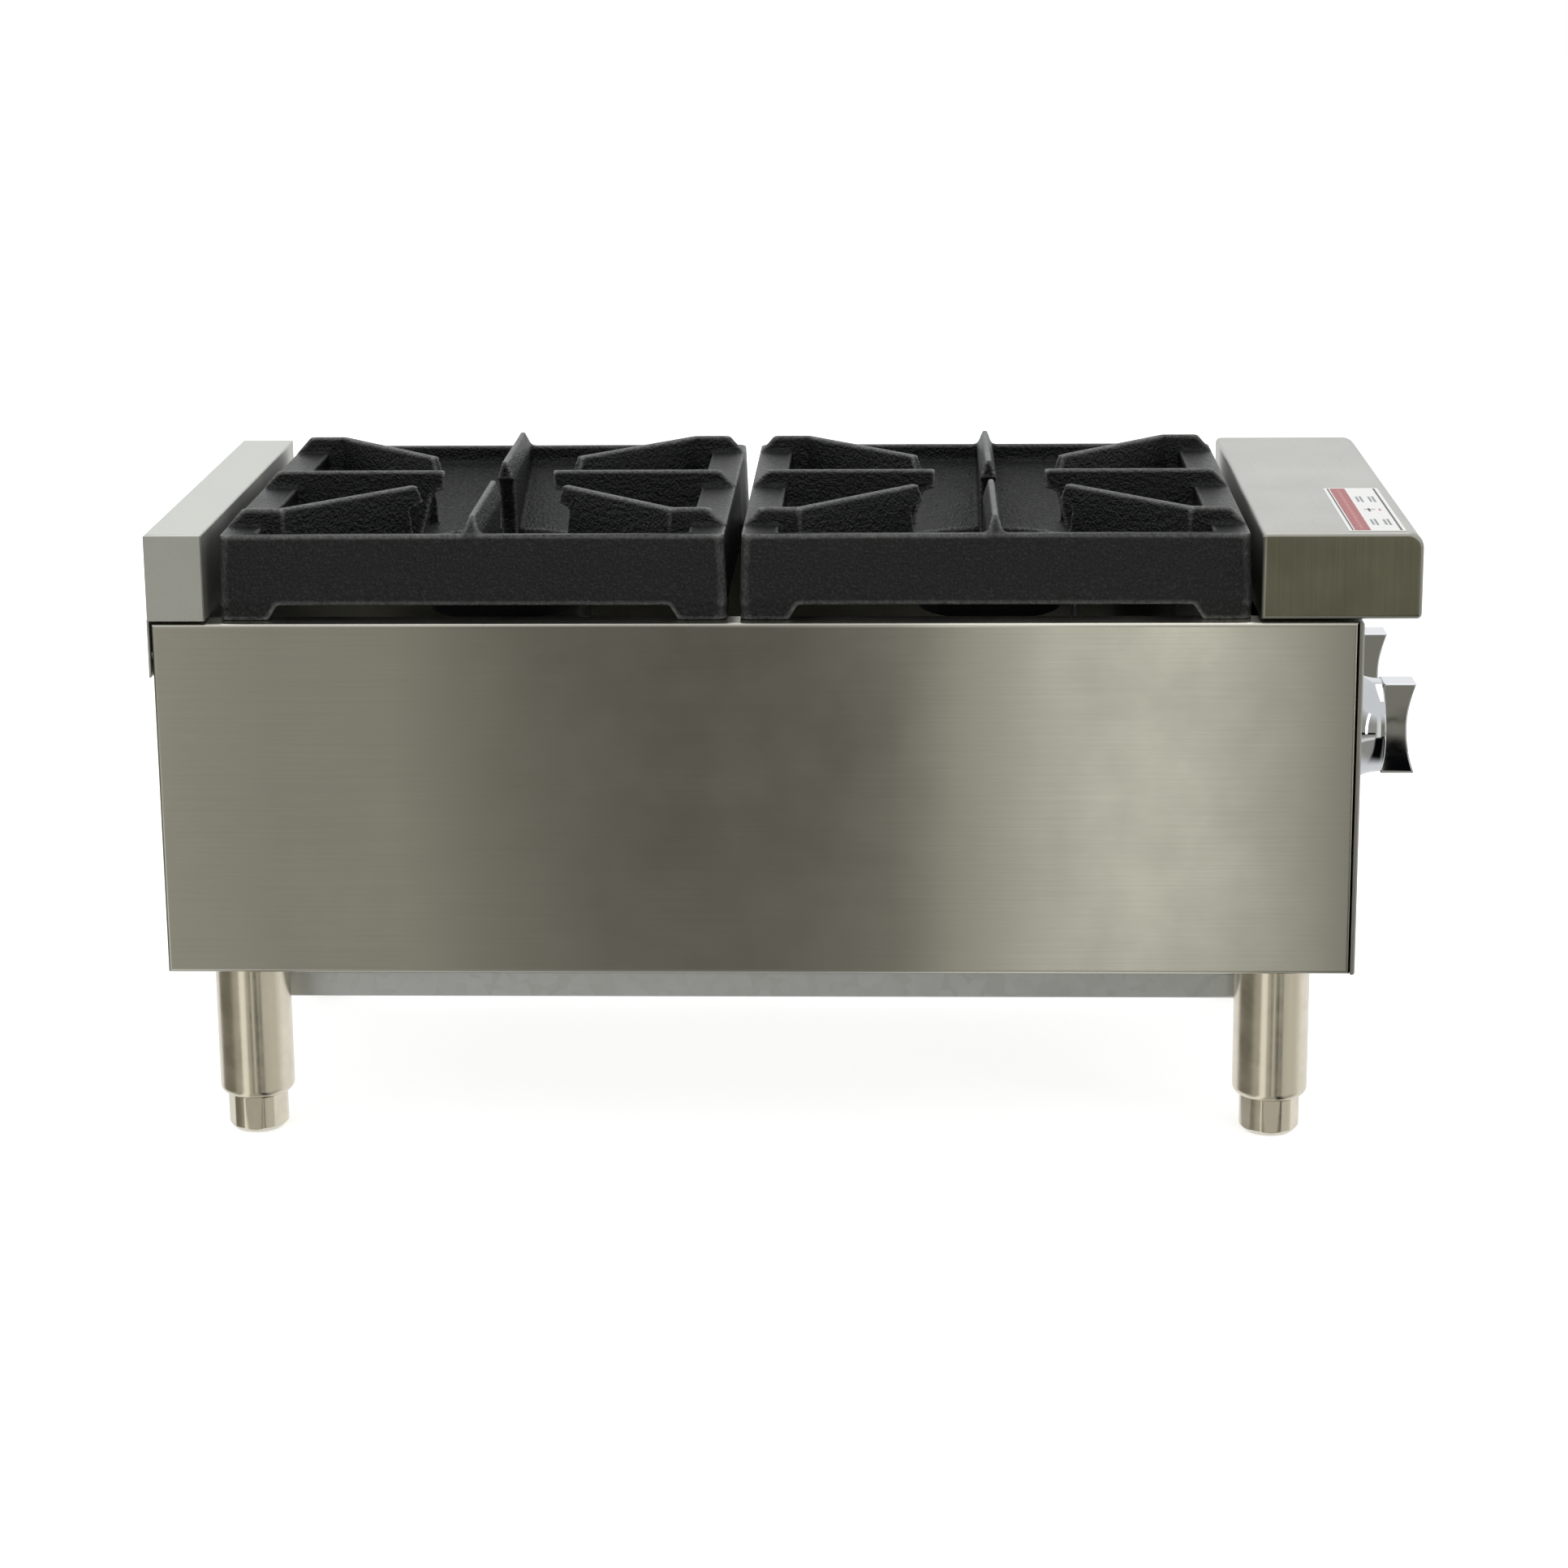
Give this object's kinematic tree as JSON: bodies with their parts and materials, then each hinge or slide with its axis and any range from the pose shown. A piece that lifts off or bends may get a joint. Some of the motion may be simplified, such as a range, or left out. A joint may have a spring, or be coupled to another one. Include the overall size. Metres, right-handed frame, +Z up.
{
  "type": "gas hot plate",
  "caption": "Countertop gas hot plate on adjustable legs, burners one behind the other under cast-iron grates, with a front ledge, turning knobs and a slide-out crumb tray.",
  "frame": {"origin": "on the counter, under the middle of the outer box", "axes": "front (knobs) faces -Y, left side seen from the front is -X, +Z up"},
  "size_m": [0.305, 0.711, 0.362],
  "materials": {
    "brushed_stainless": "satin, fine straight grain along the panel",
    "galvanised_sheet": "matte zinc-coated sheet",
    "satin_aluminium": "matte, faintly streaked",
    "printed_label": "white sticker with a red band and plain grey bars",
    "satin_nickel": "turned and satin polished",
    "zinc_fasteners": "bright zinc plate",
    "black_cast_iron": "rough sand-cast, black enamel-like coat",
    "grey_cast_iron": "raw sand-cast",
    "black_pipe": "black iron gas pipe, dull",
    "brass": "machined, slightly dull",
    "chrome": "mirror-bright plate over a die casting",
    "aluminium_tube": "bright drawn tube"
  },
  "bodies": {
    "chassis": {"left_side_panel": "brushed_stainless", "right_side_panel": "brushed_stainless", "rear_panel": "galvanised_sheet", "control_panel": "brushed_stainless", "rear_trim": "satin_aluminium", "front_ledge": "brushed_stainless", "instruction_label": "printed_label", "heat_shield": "galvanised_sheet", "front_base_plate": "galvanised_sheet", "rear_base_plate": "galvanised_sheet", "front_burner_rail": "galvanised_sheet", "middle_burner_rail": "galvanised_sheet", "rear_burner_rail": "galvanised_sheet", "left_tray_runner": "galvanised_sheet", "right_tray_runner": "galvanised_sheet", "front_left_leg": "satin_nickel", "front_right_leg": "satin_nickel", "rear_left_leg": "satin_nickel", "rear_right_leg": "satin_nickel", "leg_nuts": "zinc_fasteners", "front_burner_body": "grey_cast_iron", "rear_burner_body": "grey_cast_iron", "manifold_pipe": "black_pipe", "manifold_plug": "black_pipe", "manifold_brackets": "galvanised_sheet", "supply_elbow": "black_pipe", "supply_pipe": "black_pipe", "inlet_coupling": "black_pipe", "left_valve_body": "brass", "right_valve_body": "brass", "left_orifice": "brass", "right_orifice": "brass", "front_pilot_valve": "brass", "rear_pilot_valve": "brass", "front_pilot_tube": "aluminium_tube", "rear_pilot_tube": "aluminium_tube", "front_pilot_burner": "zinc_fasteners", "rear_pilot_burner": "zinc_fasteners", "rear_panel_screws": "zinc_fasteners", "trim_screws": "zinc_fasteners", "control_panel_screws": "zinc_fasteners"},
    "front_left_foot": {"front_left_foot": "satin_nickel"},
    "front_right_foot": {"front_right_foot": "satin_nickel"},
    "rear_left_foot": {"rear_left_foot": "satin_nickel"},
    "rear_right_foot": {"rear_right_foot": "satin_nickel"},
    "front_grate": {"front_grate": "black_cast_iron"},
    "rear_grate": {"rear_grate": "black_cast_iron"},
    "front_burner_head": {"front_burner_head": "grey_cast_iron"},
    "rear_burner_head": {"rear_burner_head": "grey_cast_iron"},
    "front_air_shutter": {"front_air_shutter": "galvanised_sheet"},
    "rear_air_shutter": {"rear_air_shutter": "galvanised_sheet"},
    "crumb_tray": {"crumb_tray": "galvanised_sheet"},
    "left_knob": {"left_knob": "chrome", "left_valve_stem": "brass"},
    "right_knob": {"right_knob": "chrome", "right_valve_stem": "brass"}
  },
  "joints": [
    {"name": "left_knob_turn", "type": "hinge", "parent": "chassis", "child": "left_knob", "pos_m": [-0.0635, -0.335, 0.2235], "axis": [0, -1, 0], "range_deg": [0, 90]},
    {"name": "right_knob_turn", "type": "hinge", "parent": "chassis", "child": "right_knob", "pos_m": [0.0635, -0.335, 0.2235], "axis": [0, -1, 0], "range_deg": [0, 90]},
    {"name": "crumb_tray_slide", "type": "slide", "parent": "chassis", "child": "crumb_tray", "axis": [0, -1, 0], "range_m": [0, 0.5]},
    {"name": "front_grate_lift", "type": "slide", "parent": "chassis", "child": "front_grate", "axis": [0, 0, 1], "range_m": [0, 0.12]},
    {"name": "rear_grate_lift", "type": "slide", "parent": "chassis", "child": "rear_grate", "axis": [0, 0, 1], "range_m": [0, 0.12]},
    {"name": "front_burner_head_lift", "type": "slide", "parent": "chassis", "child": "front_burner_head", "axis": [0, 0, 1], "range_m": [0, 0.012]},
    {"name": "rear_burner_head_lift", "type": "slide", "parent": "chassis", "child": "rear_burner_head", "axis": [0, 0, 1], "range_m": [0, 0.012]},
    {"name": "front_air_shutter_turn", "type": "hinge", "parent": "chassis", "child": "front_air_shutter", "pos_m": [0.0635, -0.252, 0.2235], "axis": [0, 1, 0], "range_deg": [0, 80]},
    {"name": "rear_air_shutter_turn", "type": "hinge", "parent": "chassis", "child": "rear_air_shutter", "pos_m": [-0.0635, -0.252, 0.2235], "axis": [0, 1, 0], "range_deg": [0, 80]},
    {"name": "front_left_foot_screw", "type": "slide", "parent": "chassis", "child": "front_left_foot", "axis": [0, 0, -1], "range_m": [0, 0.025]},
    {"name": "front_right_foot_screw", "type": "slide", "parent": "chassis", "child": "front_right_foot", "axis": [0, 0, -1], "range_m": [0, 0.025]},
    {"name": "rear_left_foot_screw", "type": "slide", "parent": "chassis", "child": "rear_left_foot", "axis": [0, 0, -1], "range_m": [0, 0.025]},
    {"name": "rear_right_foot_screw", "type": "slide", "parent": "chassis", "child": "rear_right_foot", "axis": [0, 0, -1], "range_m": [0, 0.025]}
  ]
}
